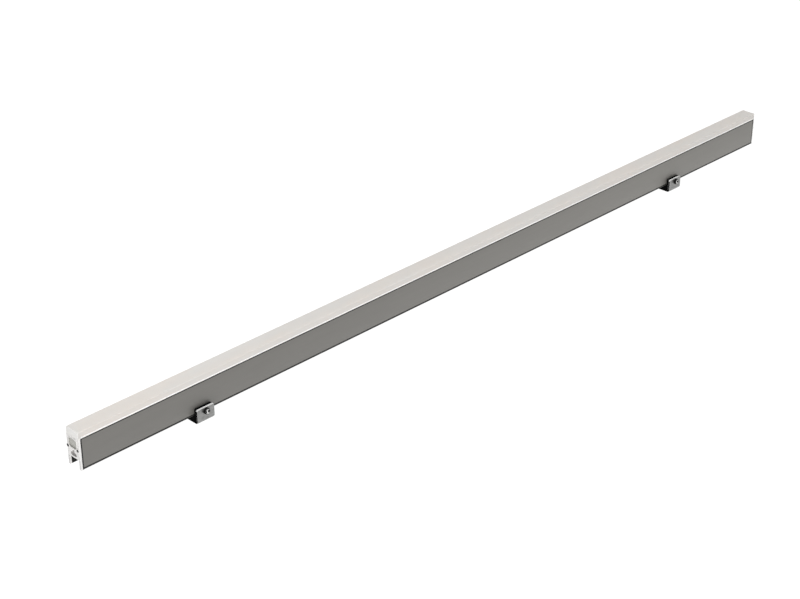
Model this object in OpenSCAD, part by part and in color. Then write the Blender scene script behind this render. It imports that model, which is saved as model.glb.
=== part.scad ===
// Outdoor wall washer: a slim aluminium extrusion under a milky cover, closed by two end caps
// and held by two clamp brackets that slide along it.
// Millimetres. X runs along the lamp, its front faces -Y, and Z = 0 is the underside of the brackets.
// The origin is the middle of the space that the whole lamp takes up, at its lowest plane.

/* [Lamp] */
// Length over the end caps
lamp_l = 1000; // [700:10:1500]
// Width over the side walls of the extrusion
lamp_w = 18; // [17:0.5:26]
// Height of the extrusion
housing_h = 31.5; // [29:0.5:45]
// How far the cover stands above the extrusion
cover_rise = 7; // [5:0.5:15]

/* [Extrusion] */
// Thickness of the two legs beside the open channel underneath
leg_t = 2.2; // [1.6:0.1:2.8]
// Depth of the open channel underneath
channel_h = 9.4; // [7:0.2:11]
// Thickness of the side walls above the channel
wall_t = 1.6; // [1.4:0.1:2]
// Thickness of the web between the channel and the wiring chamber
lower_web_t = 1.6; // [1.2:0.1:2.4]
// Height of the wiring chamber
chamber_h = 8.4; // [7:0.2:10]
// Thickness of the web that carries the LED boards
upper_web_t = 1.6; // [1.2:0.1:2.4]
// Radius of the screw ports that the end cap screws cut into
port_r = 1.1; // [0.9:0.05:1.3]
// Metal left around a screw port
port_wall = 0.8; // [0.6:0.1:1.2]

/* [Cover] */
// Thickness of the cover's top
cover_top_t = 1.6; // [1.2:0.1:2.4]
// Thickness of the cover's sides
cover_side_t = 1.5; // [1.2:0.1:2]
// How far the cover's sides are set in from the extrusion's faces
cover_inset = 0.5; // [0.3:0.1:1]
// Length of the cover's legs that snap into the extrusion
snap_leg_l = 2.8; // [2.6:0.1:4]

/* [End caps] */
// Thickness of an end cap's plate
cap_t = 1.8; // [1.6:0.1:3]
// Thickness of the gasket behind an end cap
gasket_t = 0.5; // [0.3:0.1:1]
// Depth of the block behind an end cap that fits the wiring chamber
spigot_l = 4; // [2:0.5:6]

/* [LED boards] */
// Number of LEDs on a board
board_leds = 12; // [12:1:14]
// Thickness of a board
board_t = 1.2; // [0.8:0.1:1.6]
// Thickness of the thermal tape under the boards
tape_t = 0.2; // [0.1:0.05:0.4]

/* [Brackets] */
// From the near end of the lamp to the middle of the near bracket
near_inset = 136.5; // [30:0.5:300]
// From the far end of the lamp to the middle of the far bracket
far_inset = 160; // [30:1:300]
// Width of a bracket along the lamp
bracket_w = 20; // [16:1:40]
// Thickness of the bracket's steel strip
strip_t = 2; // [1.5:0.1:2.5]
// Height of the legs of the extrusion above the underside of the brackets
lamp_lift = 7.8; // [6:0.1:12]
// Height of a bracket's ears above the legs of the extrusion
ear_rise = 7.2; // [5:0.1:9]
// Room between the extrusion and an ear
ear_room = 3; // [2.8:0.1:5]
// Width of the fixing slot
slot_w = 4.5; // [3.5:0.1:5]
// Length of the fixing slot, end to end
slot_l = 9; // [7:0.5:11]

/* [Clamp screws] */
// Thread radius of a clamp screw
clamp_r = 2; // [1.5:0.25:2.5]
// Head radius of a clamp screw
clamp_head_r = 3.3; // [3:0.1:4]
// Head height of a clamp screw
clamp_head_h = 2.6; // [2:0.1:3.5]
// How far a clamp pad can be backed off
clamp_travel = 0.8; // [0.4:0.1:0.8]

/* [Hidden] */

$fn = 64;
// One overrun for every cut
over = 1;
// Clearance between pieces that seat in each other
fit = 0.1;
// Radial clearance of a shaft that turns in its hole
running = 0.05;
// Clearance between the lamp and the clamped pieces of a bracket
grip_gap = 0.15;

// Heights above the legs of the extrusion
total_h = housing_h + cover_rise;
chamber_z = channel_h + lower_web_t;
seat_z = chamber_z + chamber_h + upper_web_t;
channel_w = lamp_w - 2 * leg_t;
chamber_w = lamp_w - 2 * wall_t;
extrusion_l = lamp_l - 2 * (cap_t + gasket_t);

// Screw ports: round ribs where the upper web meets the walls
port_skin = 0.1;
port_drop = 1.3;
port_boss_r = port_r + port_wall;
port_y = lamp_w / 2 - port_skin - port_boss_r;
port_z = seat_z - port_drop;

// Step under the cover's foot and line groove near the bottom edge, both on the outer faces
step_h = 0.8;
step_d = 0.5;
line_z = 1.2;
line_h = 0.8;
line_d = 0.4;
leg_edge_r = 0.5;

// Cover: foot on the walls, legs inside them, and a barb and a seal groove on each side
cover_w = lamp_w - 2 * cover_inset;
cover_edge_r = 0.8;
foot_h = 0.8;
foot_proud = 0.3;
snap_leg_t = 1;
barb_d = 0.4;
barb_h = 0.6;
barb_z = housing_h - snap_leg_l;
seal_h = 0.8;
seal_d = 0.5;
seal_drop = 1.4;
seal_z = housing_h - seal_drop;
leg_y = chamber_w / 2 - fit;

// End caps: window with its plug, moulded pocket with a round bay above it, and holes for the screws
window_side = 4;
window_h = 10.6;
window_top_gap = 0.7;
window_edge_r = 2.4;
window_w = lamp_w - 2 * window_side;
window_z = housing_h - window_top_gap - window_h;
plug_recess_d = 1;
plug_head_t = 0.8;
plug_lip = 1.5;
pocket_w = 8;
pocket_h = 2.8;
pocket_d = 0.8;
pocket_rise = 1.8;
pocket_z = channel_h + pocket_rise;
bay_r = 1.4;
bay_rise = 1;
spigot_gap = 0.3;
cap_edge_r = 1;
cap_screw_r = port_r - running;
cap_screw_l = 8;
cap_screw_head_r = 1.7;
cap_screw_head_h = 0.8;

// LED boards, laid in a row between the wiring end and the far end
boards = 4;
board_gap = 0.6;
board_side_gap = 0.3;
wiring_room = 14;
far_room = 6;
board_w = 2 * (port_y - port_boss_r - board_side_gap);
board_l = (extrusion_l - wiring_room - far_room - (boards - 1) * board_gap) / boards;
boards_l = boards * board_l + (boards - 1) * board_gap;
board_z = seat_z + tape_t;
board_top = board_z + board_t;
led_pitch = board_l / board_leds;
led_w = 3.5;
led_h = 1;
led_lens_r = 1.5;
led_lens_h = 0.6;
resistor_w = 1.6;
resistor_l = 3.2;
resistor_h = 0.6;
resistor_y = 2.6;
regulator_w = 4;
regulator_l = 5;
regulator_h = 1.5;
tape_w = board_w - 2 * board_side_gap;
// Places along a board of its screws, resistors and regulators, as shares of the LEDs' pitch
screw_pitch_shares = [2, 6, 10];
resistor_pitch_shares = [3, 5, 8, 11];
regulator_pitch_shares = [4, 9];
board_screw_r = 1.25;
board_screw_head_r = 2.2;
board_screw_head_h = 1.4;
board_screw_tail = 1.2;

// Wiring, placed from the near end of the extrusion
near_face_x = cap_t + gasket_t - lamp_l / 2;
board_x = near_face_x + wiring_room;
wire_r = 0.7;
wire_y = 2;
wire_bend_r = 2.4;
wire_hole_gap = 0.3;
wire_lift = 0.9;
wire_inset = 9;
wire_x = near_face_x + wire_inset;
wire_z = chamber_z + chamber_h / 2;
terminal_inset = 20;
terminal_x = near_face_x + terminal_inset;
terminal_l = 10;
terminal_side_gap = 2.9;
terminal_w = chamber_w - 2 * terminal_side_gap;
terminal_top_gap = 1.4;
terminal_h = chamber_h - terminal_top_gap;
terminal_insert = 2;
terminal_screw_r = 1;
terminal_screw_head_r = 1.6;
terminal_screw_head_h = 0.8;
terminal_screw_l = 2.6;
solder_l = 2;
solder_w = 2.2;
solder_h = 1.7;
solder_inset = 1.5;
solder_x = board_x + solder_inset;
link_l = 4;
link_w = 1.2;
link_h = 0.4;
grommet_inset = 44;
grommet_x = near_face_x + grommet_inset;
grommet_r = 4;
grommet_flange_r = 5;
grommet_flange_t = 1;
cord_r = 2.5;

// Brackets, seen from their own middle
front_face = lamp_w / 2 + grip_gap;
ear_in = lamp_w / 2 + ear_room;
ear_out = ear_in + strip_t;
ear_top = lamp_lift + ear_rise;
ear_edge_r = 1.3;
bend_in_r = 1;
bend_out_r = bend_in_r + strip_t;
near_x = near_inset - lamp_l / 2;
far_x = lamp_l / 2 - far_inset;
slot_head_gap = 2.5;
pad_foot = strip_t + bend_in_r + 2 * fit;
pad_edge_gap = 0.2;
pad_t = ear_room - 2 * grip_gap - clamp_travel;
socket_floor = 0.7;
socket_d = pad_t - socket_floor;
screw_below_top = 0.3;
screw_z = ear_top - clamp_head_r - screw_below_top;
head_gap = 0.4;
tip_r_share = 0.75;
tip_r = clamp_r * tip_r_share;
shank_l = head_gap + strip_t + grip_gap + clamp_travel - fit;

// Screw heads: crowned, with a cross recess, as shares of the head's own radius and height
crown_share = 2;
recess_l_share = 1.15;
recess_w_share = 0.26;
recess_d_share = 0.6;

// The clamp screws stand further out in front than the ears do behind, so the lamp sits back by half of that
lamp_y = (head_gap + clamp_head_h) / 2;

// Places what is drawn about the lamp's middle plane, upwards from the legs of the extrusion
module on_lamp() {
    translate([0, lamp_y, lamp_lift]) children();
}

// Places what is drawn inwards from an end cap's outer face
module at_end(far) {
    on_lamp() mirror([far ? 1 : 0, 0, 0]) translate([-lamp_l / 2, 0, 0]) children();
}

// Places what is drawn about the middle of a bracket's underside
module at_bracket(x) {
    translate([x, lamp_y, 0]) children();
}

// Draws an outline of Y and Z along X
module along_x(length) {
    rotate([90, 0, 90]) linear_extrude(length) children();
}

// Rectangle from the origin upwards, with its two upper corners rounded
module rounded_top(w, h, r) {
    translate([-w / 2, 0]) square([w, h - r]);
    translate([r - w / 2, 0]) square([w - 2 * r, h]);
    for (side = [-1, 1]) translate([side * (w / 2 - r), h - r]) circle(r);
}

// Rectangle from the origin upwards, with all its corners rounded
module rounded_plate(w, h, r) {
    translate([-w / 2, r]) square([w, h - 2 * r]);
    translate([r - w / 2, 0]) square([w - 2 * r, h]);
    for (side = [-1, 1], z = [r, h - r]) translate([side * (w / 2 - r), z]) circle(r);
}

// Slot with round ends, about the origin
module slot(w, h) {
    straight = w - h;
    translate([-straight / 2, -h / 2]) square([straight, h]);
    for (side = [-1, 1]) translate([side * straight / 2, 0]) circle(h / 2);
}

// Screw with its head upwards from the origin and its shank below
module pan_screw(head_r, head_h, shank_r, shank_length) {
    crown_r = crown_share * head_r;
    recess_l = recess_l_share * head_r;
    recess_w = recess_w_share * head_r;
    recess_d = recess_d_share * head_h;
    difference() {
        intersection() {
            cylinder(h = head_h, r = head_r);
            translate([0, 0, head_h - crown_r]) sphere(crown_r);
        }
        for (turn = [0, 90]) rotate([0, 0, turn]) translate([-recess_l / 2, -recess_w / 2, head_h - recess_d])
            cube([recess_l, recess_w, recess_d + over]);
    }
    translate([0, 0, -shank_length]) cylinder(h = shank_length, r = shank_r);
}

// Extrusion
module channel_outline() {
    translate([-channel_w / 2, -over]) square([channel_w, channel_h + over]);
}

module outer_grooves() {
    translate([lamp_w / 2 - step_d, housing_h - step_h]) square([step_d + over, step_h + over]);
    translate([lamp_w / 2 - line_d, line_z]) square([line_d + over, line_h]);
    translate([lamp_w / 2 - leg_edge_r, leg_edge_r]) difference() {
        translate([0, -leg_edge_r - over]) square([leg_edge_r + over, leg_edge_r + over]);
        circle(leg_edge_r);
    }
}

module inner_grooves() {
    translate([chamber_w / 2 - over, seal_z]) square([seal_d + over, seal_h]);
    translate([chamber_w / 2 - over, barb_z - fit]) square([barb_d + fit + over, barb_h + 2 * fit]);
}

module housing_outline() {
    difference() {
        union() {
            difference() {
                translate([-lamp_w / 2, 0]) square([lamp_w, housing_h]);
                channel_outline();
                translate([-chamber_w / 2, chamber_z]) square([chamber_w, chamber_h]);
                translate([-chamber_w / 2, seat_z]) square([chamber_w, housing_h - seat_z + over]);
            }
            for (side = [-1, 1]) translate([side * port_y, port_z]) circle(port_boss_r);
        }
        for (side = [0, 1]) mirror([side, 0]) {
            translate([port_y, port_z]) circle(port_r);
            outer_grooves();
            inner_grooves();
        }
    }
}

function board_start(number) = board_x + (number - 1) * (board_l + board_gap);
function board_places(shares) = [for (number = [1:boards], share = shares) board_start(number) + share * led_pitch];

module housing_extrusion() {
    color("#84837d") on_lamp() difference() {
        translate([-extrusion_l / 2, 0, 0]) along_x(extrusion_l) housing_outline();
        for (x = board_places(screw_pitch_shares)) translate([x, 0, chamber_z + chamber_h - over])
            cylinder(h = upper_web_t + 2 * over, r = board_screw_r + running);
        for (side = [-1, 1]) translate([wire_x, side * wire_y, chamber_z + chamber_h - over])
            cylinder(h = upper_web_t + 2 * over, r = wire_r + wire_hole_gap);
        translate([grommet_x, 0, channel_h - over])
            cylinder(h = lower_web_t + 2 * over, r = grommet_r + running);
    }
}

// Cover
module cover_outline() {
    leg_x = leg_y - snap_leg_t;
    difference() {
        translate([0, housing_h]) rounded_top(cover_w, cover_rise, cover_edge_r);
        translate([cover_side_t - cover_w / 2, housing_h - over])
            square([cover_w - 2 * cover_side_t, cover_rise - cover_top_t + over]);
    }
    for (side = [0, 1]) mirror([side, 0]) {
        translate([leg_x, housing_h]) square([cover_w / 2 + foot_proud - leg_x, foot_h]);
        translate([leg_x, barb_z]) square([snap_leg_t, snap_leg_l + foot_h]);
        translate([leg_y, barb_z]) square([barb_d, barb_h]);
    }
}

module diffuser_cover() {
    color("#d9d6ce") on_lamp() translate([-extrusion_l / 2, 0, 0]) along_x(extrusion_l) cover_outline();
}

module cover_seal(side) {
    color("#c9c9c4") on_lamp() mirror([0, side, 0]) translate([-extrusion_l / 2, leg_y, seal_z])
        cube([extrusion_l, seal_d + fit, seal_h]);
}

module cover_seal_front() {
    cover_seal(1);
}

module cover_seal_back() {
    cover_seal(0);
}

// LED boards and what is on them
module board_screw_holes(low, height) {
    for (x = board_places(screw_pitch_shares)) translate([x, 0, low - over])
        cylinder(h = height + 2 * over, r = board_screw_r + fit);
}

module led_board(number) {
    color("#e8ebe8") on_lamp() difference() {
        translate([board_start(number), -board_w / 2, board_z]) cube([board_l, board_w, board_t]);
        board_screw_holes(board_z, board_t);
    }
}

module led_packages() {
    color("#f2e9a8") on_lamp() for (number = [1:boards], led = [1:board_leds]) {
        translate([board_start(number) + led_pitch * (led - 1 / 2), 0, board_top]) {
            translate([-led_w / 2, -led_w / 2, 0]) cube([led_w, led_w, led_h]);
            translate([0, 0, led_h]) cylinder(h = led_lens_h, r = led_lens_r);
        }
    }
}

module board_resistors() {
    color("#26262a") on_lamp() for (x = board_places(resistor_pitch_shares), side = [-1, 1]) {
        translate([x - resistor_l / 2, side * resistor_y - resistor_w / 2, board_top])
            cube([resistor_l, resistor_w, resistor_h]);
    }
}

module current_regulators() {
    color("#1c1c20") on_lamp() for (x = board_places(regulator_pitch_shares)) {
        translate([x - regulator_l / 2, -regulator_w / 2, board_top]) cube([regulator_l, regulator_w, regulator_h]);
    }
}

// Links across the joints of the boards, and the blocks of solder that take the two leads
module board_links() {
    color("#b9bcc0") on_lamp() {
        for (number = [2:boards], side = [-1, 1])
            translate([board_start(number) - (board_gap + link_l) / 2, side * resistor_y - link_w / 2, board_top])
                cube([link_l, link_w, link_h]);
        for (side = [-1, 1]) translate([solder_x, side * wire_y - solder_w / 2 + side * fit, board_top])
            cube([solder_l, solder_w, solder_h]);
    }
}

module thermal_tape() {
    color("#9fb4c4") on_lamp() difference() {
        translate([board_x, -tape_w / 2, seat_z]) cube([boards_l, tape_w, tape_t]);
        board_screw_holes(seat_z, tape_t);
    }
}

module board_screws() {
    shank_length = board_t + tape_t + upper_web_t + board_screw_tail;
    color("#c4c4c4") on_lamp() for (x = board_places(screw_pitch_shares)) translate([x, 0, board_top])
        pan_screw(board_screw_head_r, board_screw_head_h, board_screw_r, shank_length);
}

// Wiring in the near end
module terminal_block() {
    color("#e6e4dc") on_lamp() difference() {
        translate([terminal_x, -terminal_w / 2, chamber_z]) cube([terminal_l, terminal_w, terminal_h]);
        for (side = [-1, 1]) {
            translate([terminal_x - over, side * wire_y, wire_z]) rotate([0, 90, 0])
                cylinder(h = terminal_insert + over, r = wire_r + fit);
            translate([terminal_x + terminal_l - terminal_insert, side * wire_y, wire_z]) rotate([0, 90, 0])
                cylinder(h = terminal_insert + over, r = wire_r + fit);
            translate([terminal_x + terminal_l / 2, side * wire_y, chamber_z + terminal_h - terminal_screw_l])
                cylinder(h = terminal_screw_l + over, r = terminal_screw_r + running);
        }
    }
}

module terminal_screws() {
    color("#b8b09a") on_lamp() for (side = [-1, 1])
        translate([terminal_x + terminal_l / 2, side * wire_y, chamber_z + terminal_h])
            pan_screw(terminal_screw_head_r, terminal_screw_head_h, terminal_screw_r, terminal_screw_l - fit);
}

// Quarter of a bend in the XZ plane, from +X to +Z about the origin
module wire_bend() {
    rotate([90, 0, 0]) rotate_extrude(angle = 90) translate([wire_bend_r, 0]) circle(wire_r);
}

module lead(side) {
    top_z = board_top + wire_lift;
    low_x = wire_x + wire_bend_r;
    on_lamp() translate([0, side * wire_y, 0]) {
        translate([low_x, 0, wire_z]) rotate([0, 90, 0])
            cylinder(h = terminal_x + terminal_insert - fit - low_x, r = wire_r);
        translate([low_x, 0, wire_z + wire_bend_r]) rotate([0, 180, 0]) wire_bend();
        translate([wire_x, 0, wire_z + wire_bend_r]) cylinder(h = top_z - wire_z - 2 * wire_bend_r, r = wire_r);
        translate([low_x, 0, top_z - wire_bend_r]) mirror([1, 0, 0]) wire_bend();
        translate([low_x, 0, top_z]) rotate([0, 90, 0]) cylinder(h = solder_x - low_x, r = wire_r);
    }
}

module lead_positive() {
    color("#b4241c") lead(1);
}

module lead_negative() {
    color("#1b1b1d") lead(-1);
}

module cable_grommet() {
    color("#202022") on_lamp() translate([grommet_x, 0, channel_h]) difference() {
        union() {
            translate([0, 0, -grommet_flange_t]) cylinder(h = grommet_flange_t, r = grommet_flange_r);
            cylinder(h = lower_web_t, r = grommet_r);
            translate([0, 0, lower_web_t]) cylinder(h = grommet_flange_t, r = grommet_flange_r);
        }
        translate([0, 0, -grommet_flange_t - over])
            cylinder(h = lower_web_t + 2 * (grommet_flange_t + over), r = cord_r);
    }
}

// End caps
module end_outline() {
    difference() {
        union() {
            rounded_top(lamp_w, housing_h, step_d);
            rounded_top(cover_w, total_h, cap_edge_r);
        }
        channel_outline();
    }
}

module window_outline(grow) {
    translate([0, window_z - grow]) rounded_plate(window_w + 2 * grow, window_h + 2 * grow, window_edge_r + grow);
}

module pocket_outline() {
    translate([0, pocket_z + pocket_h / 2]) slot(pocket_w, pocket_h);
    translate([0, pocket_z + pocket_h + bay_rise]) circle(bay_r);
}

module end_screw_holes(length) {
    for (side = [-1, 1]) translate([-over, side * port_y, port_z]) rotate([0, 90, 0])
        cylinder(h = length + 2 * over, r = cap_screw_r + fit);
}

module spigot(grow, length) {
    w = chamber_w - 2 * spigot_gap + 2 * grow;
    h = port_z - port_boss_r - chamber_z - 2 * spigot_gap + 2 * grow;
    translate([0, -w / 2, chamber_z + spigot_gap - grow]) cube([length, w, h]);
}

module end_cap(far) {
    color("#eceae6") at_end(far) difference() {
        union() {
            along_x(cap_t) end_outline();
            translate([cap_t, 0, 0]) spigot(0, gasket_t + spigot_l);
        }
        translate([-over, 0, 0]) along_x(plug_recess_d + over) window_outline(0);
        translate([-over, 0, 0]) along_x(cap_t + gasket_t + 2 * over) window_outline(-plug_lip);
        translate([-over, 0, 0]) along_x(pocket_d + over) pocket_outline();
        end_screw_holes(cap_t);
    }
}

module end_cap_near() {
    end_cap(false);
}

module end_cap_far() {
    end_cap(true);
}

module end_gasket(far) {
    color("#3a3a3c") at_end(far) translate([cap_t, 0, 0]) difference() {
        along_x(gasket_t) end_outline();
        translate([-over, 0, 0]) along_x(gasket_t + 2 * over) window_outline(-plug_lip);
        translate([-over, 0, 0]) spigot(fit, gasket_t + 2 * over);
        end_screw_holes(gasket_t);
    }
}

module end_gasket_near() {
    end_gasket(false);
}

module end_gasket_far() {
    end_gasket(true);
}

module end_cap_screws(far) {
    color("#2b2a2a") at_end(far) for (side = [-1, 1]) translate([0, side * port_y, port_z]) rotate([0, -90, 0])
        pan_screw(cap_screw_head_r, cap_screw_head_h, cap_screw_r, cap_screw_l);
}

module end_cap_screws_near() {
    end_cap_screws(false);
}

module end_cap_screws_far() {
    end_cap_screws(true);
}

module fill_plug(far) {
    color("#b9b8b2") at_end(far) {
        translate([plug_recess_d - plug_head_t, 0, 0]) along_x(plug_head_t) window_outline(-fit);
        translate([plug_recess_d, 0, 0]) along_x(cap_t - plug_recess_d + gasket_t)
            window_outline(-plug_lip - fit);
    }
}

module fill_plug_near() {
    fill_plug(false);
}

module fill_plug_far() {
    fill_plug(true);
}

// Brackets
module ear_outline(w, low) {
    translate([0, low]) rounded_top(w, ear_top - low, ear_edge_r);
}

module bracket_outline() {
    difference() {
        translate([0, ear_top + over]) mirror([0, 1]) rounded_top(2 * ear_out, ear_top + over, bend_out_r);
        translate([0, ear_top + 2 * over]) mirror([0, 1])
            rounded_top(2 * ear_in, ear_top + 2 * over - strip_t, bend_in_r);
    }
}

module bracket(x) {
    color("#a8a8a6") at_bracket(x) difference() {
        intersection() {
            translate([-bracket_w / 2 - over, 0, 0]) along_x(bracket_w + 2 * over) bracket_outline();
            rotate([90, 0, 0]) linear_extrude(2 * (ear_out + over), center = true) ear_outline(bracket_w, -over);
        }
        translate([0, 0, -over]) linear_extrude(strip_t + 2 * over) slot(slot_l, slot_w);
        translate([0, over - ear_in, screw_z]) rotate([90, 0, 0])
            cylinder(h = strip_t + 2 * over, r = clamp_r + running);
    }
}

module bracket_near() {
    bracket(near_x);
}

module bracket_far() {
    bracket(far_x);
}

module saddle(x) {
    w = bracket_w - 2 * pad_edge_gap;
    depth = lamp_w - 2 * fit;
    h = lamp_lift - strip_t - grip_gap;
    color("#18181a") at_bracket(x) translate([0, 0, strip_t]) difference() {
        translate([-w / 2, -depth / 2, 0]) cube([w, depth, h]);
        translate([0, 0, -over]) linear_extrude(h + 2 * over)
            slot(slot_l + 2 * slot_head_gap, slot_w + 2 * slot_head_gap);
    }
}

module saddle_near() {
    saddle(near_x);
}

module saddle_far() {
    saddle(far_x);
}

module pad(thickness) {
    rotate([90, 0, 0]) linear_extrude(thickness) ear_outline(bracket_w - 2 * pad_edge_gap, pad_foot);
}

module rear_pad(x) {
    color("#18181a") at_bracket(x) translate([0, ear_in, 0]) pad(ear_room - grip_gap);
}

module rear_pad_near() {
    rear_pad(near_x);
}

module rear_pad_far() {
    rear_pad(far_x);
}

module clamp_pad(x) {
    color("#18181a") at_bracket(x) difference() {
        translate([0, -front_face, 0]) pad(pad_t);
        translate([0, socket_d - front_face - pad_t, screw_z]) rotate([90, 0, 0])
            cylinder(h = socket_d + over, r = tip_r + running);
    }
}

module clamp_pad_near() {
    clamp_pad(near_x);
}

module clamp_pad_far() {
    clamp_pad(far_x);
}

module clamp_screw(x) {
    color("#9c9c9c") at_bracket(x) translate([0, -ear_out - head_gap, screw_z]) rotate([90, 0, 0]) {
        pan_screw(clamp_head_r, clamp_head_h, clamp_r, shank_l);
        translate([0, 0, -shank_l - socket_d]) cylinder(h = socket_d, r = tip_r);
    }
}

module clamp_screw_near() {
    clamp_screw(near_x);
}

module clamp_screw_far() {
    clamp_screw(far_x);
}

housing_extrusion();
diffuser_cover();
cover_seal_front();
cover_seal_back();
led_board(1);  // led_board_1
led_board(2);  // led_board_2
led_board(3);  // led_board_3
led_board(4);  // led_board_4
led_packages();
board_resistors();
current_regulators();
board_links();
thermal_tape();
board_screws();
terminal_block();
terminal_screws();
lead_positive();
lead_negative();
cable_grommet();
end_cap_near();
end_cap_far();
end_gasket_near();
end_gasket_far();
end_cap_screws_near();
end_cap_screws_far();
fill_plug_near();
fill_plug_far();
bracket_near();
bracket_far();
saddle_near();
saddle_far();
rear_pad_near();
rear_pad_far();
clamp_pad_near();
clamp_pad_far();
clamp_screw_near();
clamp_screw_far();
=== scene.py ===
"""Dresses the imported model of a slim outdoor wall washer, and sets its studio and camera.

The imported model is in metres, with X along the lamp, -Y to its front and Z upwards. The classes
give sizes in millimetres, counted from the bench that each of them works on.
"""

import logging
import math
from contextlib import contextmanager
from dataclasses import dataclass, field
from enum import Enum
from typing import Callable, Iterator, Sequence, Union

import bmesh
import bpy
from mathutils import Euler, Matrix, Vector


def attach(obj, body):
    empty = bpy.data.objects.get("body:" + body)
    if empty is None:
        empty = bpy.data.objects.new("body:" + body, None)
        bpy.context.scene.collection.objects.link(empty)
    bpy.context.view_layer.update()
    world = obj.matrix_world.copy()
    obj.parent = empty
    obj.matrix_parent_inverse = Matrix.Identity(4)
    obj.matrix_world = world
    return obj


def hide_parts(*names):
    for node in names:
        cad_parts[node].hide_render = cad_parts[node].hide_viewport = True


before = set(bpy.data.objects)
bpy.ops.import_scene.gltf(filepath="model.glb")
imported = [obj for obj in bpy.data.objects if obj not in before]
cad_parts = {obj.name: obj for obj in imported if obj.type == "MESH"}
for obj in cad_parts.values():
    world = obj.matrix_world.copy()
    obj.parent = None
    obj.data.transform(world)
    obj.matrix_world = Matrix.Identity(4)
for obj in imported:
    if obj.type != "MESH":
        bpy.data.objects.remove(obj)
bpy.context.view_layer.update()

LOG = logging.getLogger("wall_washer")
MM = 0.001
# Where the lamp's middle meets the level of its legs, in the model's frame
LAMP = (0.0, 1.5, 7.8)
# How far a cutting tool reaches past what it cuts
OVER = 1.0
# How far from their places an edge is found, and a zone of faces still reaches
SLACK, MARGIN = 0.02, 0.05
# How much of a direction lies along an axis that it counts as parallel to
PARALLEL = 0.9
SIDES = (-1, 1)
LENGTHWISE, CROSSWISE, UPWARDS = (1, 0, 0), (0, 1, 0), (0, 0, 1)

Piece = bpy.types.Object
Pair = tuple[float, float]
Point = tuple[float, float, float]
Box = tuple[float, float, float, float]
Rings = Sequence[Pair]
Test = Callable[[Vector, Vector], bool]
Value = Union["Signal", float]
Colour = Union["Signal", Point]


class Kind(Enum):
    """What a pick selects in edit mode."""

    EDGE = "EDGE"
    FACE = "FACE"


class Joining(Enum):
    """How one solid acts on another."""

    FUSE = "UNION"
    CUT = "DIFFERENCE"


def near(value: float, *targets: float) -> bool:
    """Says whether a value lies at one of the targets."""
    return any(abs(value - target) < SLACK for target in targets)


def runs(way: Vector, axis: int) -> bool:
    """Says whether a direction runs along an axis, either way."""
    return abs(way[axis]) > PARALLEL


def both_sides(inner: float, outer: float, low: float, high: float) -> list[Box]:
    """Gives a rectangle of a section on the front side and on the back side."""
    return [(-outer, low, -inner, high), (inner, low, outer, high)]


def thread(start: float, turns: int, first: float, second: float, pitch: float = 0.7) -> list[Pair]:
    """Gives the rings of a thread, which goes from one radius to the other in each half turn."""
    places = (start + pitch * turn for turn in range(turns))
    return [ring for place in places for ring in ((place, first), (place + pitch / 2, second))]


def maths(operation: str, flip: bool = False) -> Callable[..., "Signal"]:
    """Makes an operator of signals.

    Args:
        operation: What its Math node does.
        flip: Whether the signal is the second operand.

    Returns:
        The operator, as a method.
    """
    def act(signal: "Signal", other: Value = 0.0) -> "Signal":
        """Adds the Math node."""
        first, second = (other, signal) if flip else (signal, other)
        return signal.shader.node("ShaderNodeMath", {"operation": operation}, {0: first, 1: second})

    return act


class Signal:
    """A number or colour that flows between nodes, with Python's operators as Math nodes."""

    __add__ = __radd__ = maths("ADD")
    __sub__ = maths("SUBTRACT")
    __rsub__ = maths("SUBTRACT", flip=True)
    __mul__ = __rmul__ = maths("MULTIPLY")
    __gt__ = maths("GREATER_THAN")
    __lt__ = maths("LESS_THAN")
    __abs__ = maths("ABSOLUTE")

    def __init__(self, shader: "Shader", socket: bpy.types.NodeSocket) -> None:
        """Wraps one output socket of a shader's node."""
        self.shader, self.socket = shader, socket

    def within(self, low: float, high: float) -> "Signal":
        """Gives 1 between two values, else 0."""
        return (self > low) * (self < high)

    def swing(self, share: float) -> "Signal":
        """Turns 0 to 1 into a swing of a share to both sides of 0."""
        return (self - 0.5) * (2 * share)

    def eased(self, start: float, end: float) -> "Signal":
        """Rises smoothly from 0 at start to 1 at end."""
        return self.shader.node("ShaderNodeMapRange", {"interpolation_type": "SMOOTHSTEP"},
                                {"Value": self, "From Min": start, "From Max": end})


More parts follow.
